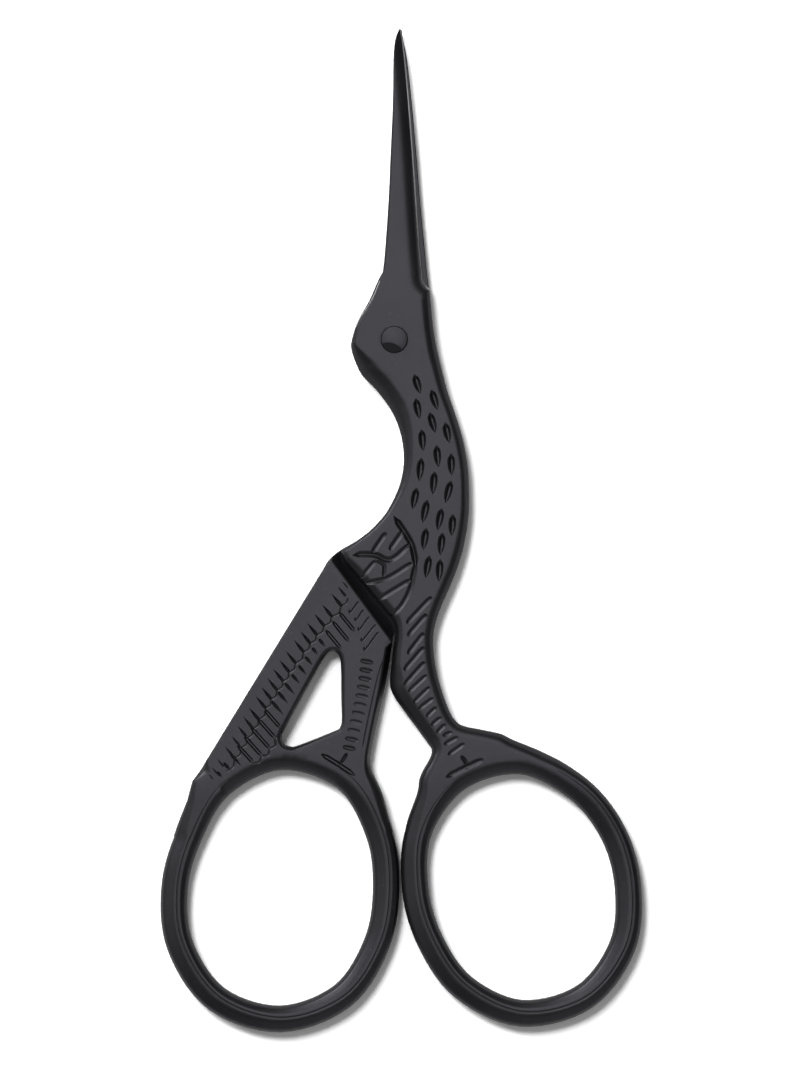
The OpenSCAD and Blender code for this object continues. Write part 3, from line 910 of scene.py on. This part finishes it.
def back_face(places, lower):
    bottom = np.maximum(body_t - flat_top(places), thinned(places, 0, back_lap_z - tip_t))
    from_edge = from_line(places, back_cut)
    z = np.maximum(bottom + lower, bottom + bevel(from_edge))
    z = np.maximum(z, back_lap_z - edge_t - micro_slope * from_edge)
    sunk = sink_h * (tail_d / 2 - np.hypot(*places.T)) / (tail_d / 2 - shank_r)
    return np.maximum(z, np.clip(sunk, 0, sink_h))


sink_rim = circle(tail_d / 2)
back_half = forge("back_half_forging", back_loops,
                  forged_face(back_loops, back_front_rims, tail_strokes, shoulder_lines, back_front_face),
                  forged_face(back_loops, back_rims, neck_strokes + wing_strokes + tail_strokes,
                              [sink_rim] + bevel_lines(back_cut, 0.17), back_face))
coat(back_half, back_cut, -1)
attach(back_half, "back_lever")
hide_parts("back_half")


# Rivet.
# A steel pin pushed through both halves at the stork's eye. Its domed head turns against the front face,
# and its tail is spread in the countersink at the back, flush with it.
head_d = 3.1
head_h = 0.6
head_z = body_t + lap_gap / 2
head_foot_w = 0.08
head_foot_h = 0.06
head_wall_w = 0.12
dome_h = 0.12
dome_steps = 12
hammered_y = -0.47
hammered_way = (-0.08, -0.27, 0.96)
bpy.ops.object.select_all(action="DESELECT")
bpy.ops.mesh.primitive_circle_add(vertices=64, radius=tail_d / 2 * mm, fill_type="NGON", location=(0, 0, 0))
rivet = bpy.context.object
rivet.name = "rivet_domed"
bpy.ops.object.mode_set(mode="EDIT")
bpy.ops.mesh.select_all(action="SELECT")
bpy.ops.mesh.flip_normals()


def drawn_up(rise, radius_from, radius_to):
    """The selected end drawn up by a rise, and opened or closed to a new radius."""
    bpy.ops.mesh.extrude_region_move(TRANSFORM_OT_translate={"value": (0, 0, rise * mm)})
    size = radius_to / radius_from
    bpy.ops.transform.resize(value=(size, size, 1), center_override=(0, 0, 0))


drawn_up(sink_h, tail_d / 2, shank_r)
drawn_up(head_z - sink_h, shank_r, shank_r)
drawn_up(0, shank_r, head_d / 2 - head_foot_w)
drawn_up(head_foot_h, head_d / 2 - head_foot_w, head_d / 2)
top_r = head_d / 2 - head_wall_w
drawn_up(head_h - dome_h - head_foot_h, head_d / 2, top_r)
dome_r = (top_r ** 2 + dome_h ** 2) / (2 * dome_h)
low_turn = math.asin(top_r / dome_r)
turns = [low_turn * (1 - i / dome_steps) for i in range(dome_steps)]
for a, b in zip(turns, turns[1:]):
    drawn_up(dome_r * (math.cos(b) - math.cos(a)), dome_r * math.sin(a), dome_r * math.sin(b))
last_rise = dome_r * (1 - math.cos(turns[-1]))
bpy.ops.mesh.extrude_region_move(TRANSFORM_OT_translate={"value": (0, 0, last_rise * mm)})
bpy.ops.mesh.merge(type="CENTER")
bpy.ops.mesh.select_all(action="SELECT")
bpy.ops.mesh.remove_doubles(threshold=1e-7)
hammered_z = head_z + head_h - dome_h * (hammered_y / top_r) ** 2
bpy.ops.mesh.bisect(plane_co=(0, hammered_y * mm, hammered_z * mm), plane_no=hammered_way,
                    use_fill=True, clear_outer=True, threshold=1e-8)
bpy.ops.mesh.mark_sharp()
bpy.ops.mesh.select_all(action="SELECT")
bpy.ops.mesh.remove_doubles(threshold=0.004 * mm)
bpy.ops.mesh.normals_make_consistent(inside=False)
bpy.ops.object.mode_set(mode="OBJECT")
bpy.ops.object.shade_smooth_by_angle(angle=math.radians(20), keep_sharp_edges=True)
places = np.array([v.co[:] for v in rivet.data.vertices]) / mm
rim_gap = np.where(places[:, 2] > head_z, abs(head_d / 2 - np.hypot(places[:, 0], places[:, 1])), 1.0)
rivet.data.attributes.new("rim_gap", "FLOAT", "POINT").data.foreach_set("value", rim_gap.astype(np.float32))
rivet.data.materials.append(black.material)
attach(rivet, "back_lever")
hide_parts("pivot_rivet")


# Table, light and surroundings.
# A matt white table in a grey room, under a soft light overhead, with a window at the upper left and a lamp
# that throws the shadow to the lower right.
aim = Vector((0, -22 * mm, 0))


def soft_light(name, centre, size, radiance, mirrored=True, spread=True):
    lamp = bpy.data.lights.new(name, "AREA")
    lamp.shape = "RECTANGLE"
    lamp.size, lamp.size_y = size
    lamp.energy = radiance * math.pi * size[0] * size[1]
    light = bpy.data.objects.new(name, lamp)
    light.location = centre
    light.rotation_euler = (aim - Vector(centre)).to_track_quat("-Z", "Y").to_euler()
    light.visible_camera = False
    light.visible_glossy = mirrored
    light.visible_diffuse = spread
    bpy.context.collection.objects.link(light)


bpy.ops.object.select_all(action="DESELECT")
bpy.ops.mesh.primitive_plane_add(size=3, location=(0, 0, -0.1 * mm))
table = bpy.context.object
table.name = "table"
white = Finish("white_table")
to_camera, in_gloss, through = white.rays()
seen = white.sum("MAXIMUM", white.sum("MAXIMUM", to_camera, in_gloss), through)
white.give(Base_Color=white.mix(to_camera, (0.5, 0.5, 0.5, 1), (1.2, 1.2, 1.2, 1)), Roughness=1.0,
           Specular_IOR_Level=0.0, Emission_Color=(1, 1, 1, 1), Emission_Strength=seen * 0.02)
table.data.materials.append(white.material)

soft_light("overhead_softbox", (0, 0.12, 0.75), (0.5, 0.6), 2.9, spread=False)
soft_light("key_light", (-0.21, 0.31, 0.93), (0.25, 0.25), 41, mirrored=False)
soft_light("window_light", (-0.75, 0.75, 0.62), (0.85, 0.6), 8)

room = Finish("room", bpy.data.worlds.new("room"))
to_camera, in_gloss, through = room.rays()
toward = room.node("ShaderNodeTexCoord", out="Generated")
to_left = room.along(toward, (-0.9, 0.44, 0))
to_foot = room.along(toward, (0.3, -0.95, 0))
up = room.along(toward, (0, 0, 1))
left_glow = to_left.held(0.3, 0.5) * (0.1 + up * up * 1.5)
foot_glow = to_foot.held(0.35, 0.8) * 0.62
low_glow = (1 - up.held(-0.1, 0.24)) * 2.4
glow = 0.07 + left_glow + foot_glow + low_glow
mirrored_walls = room.node("ShaderNodeCombineColor", {}, {"Red": glow, "Green": glow, "Blue": glow})
grey = room.mix(in_gloss, (0.26, 0.26, 0.26, 1), mirrored_walls)
room.give(Color=room.mix(room.sum("MAXIMUM", to_camera, through), grey, (1, 1, 1, 1)))
bpy.context.scene.world = room.material
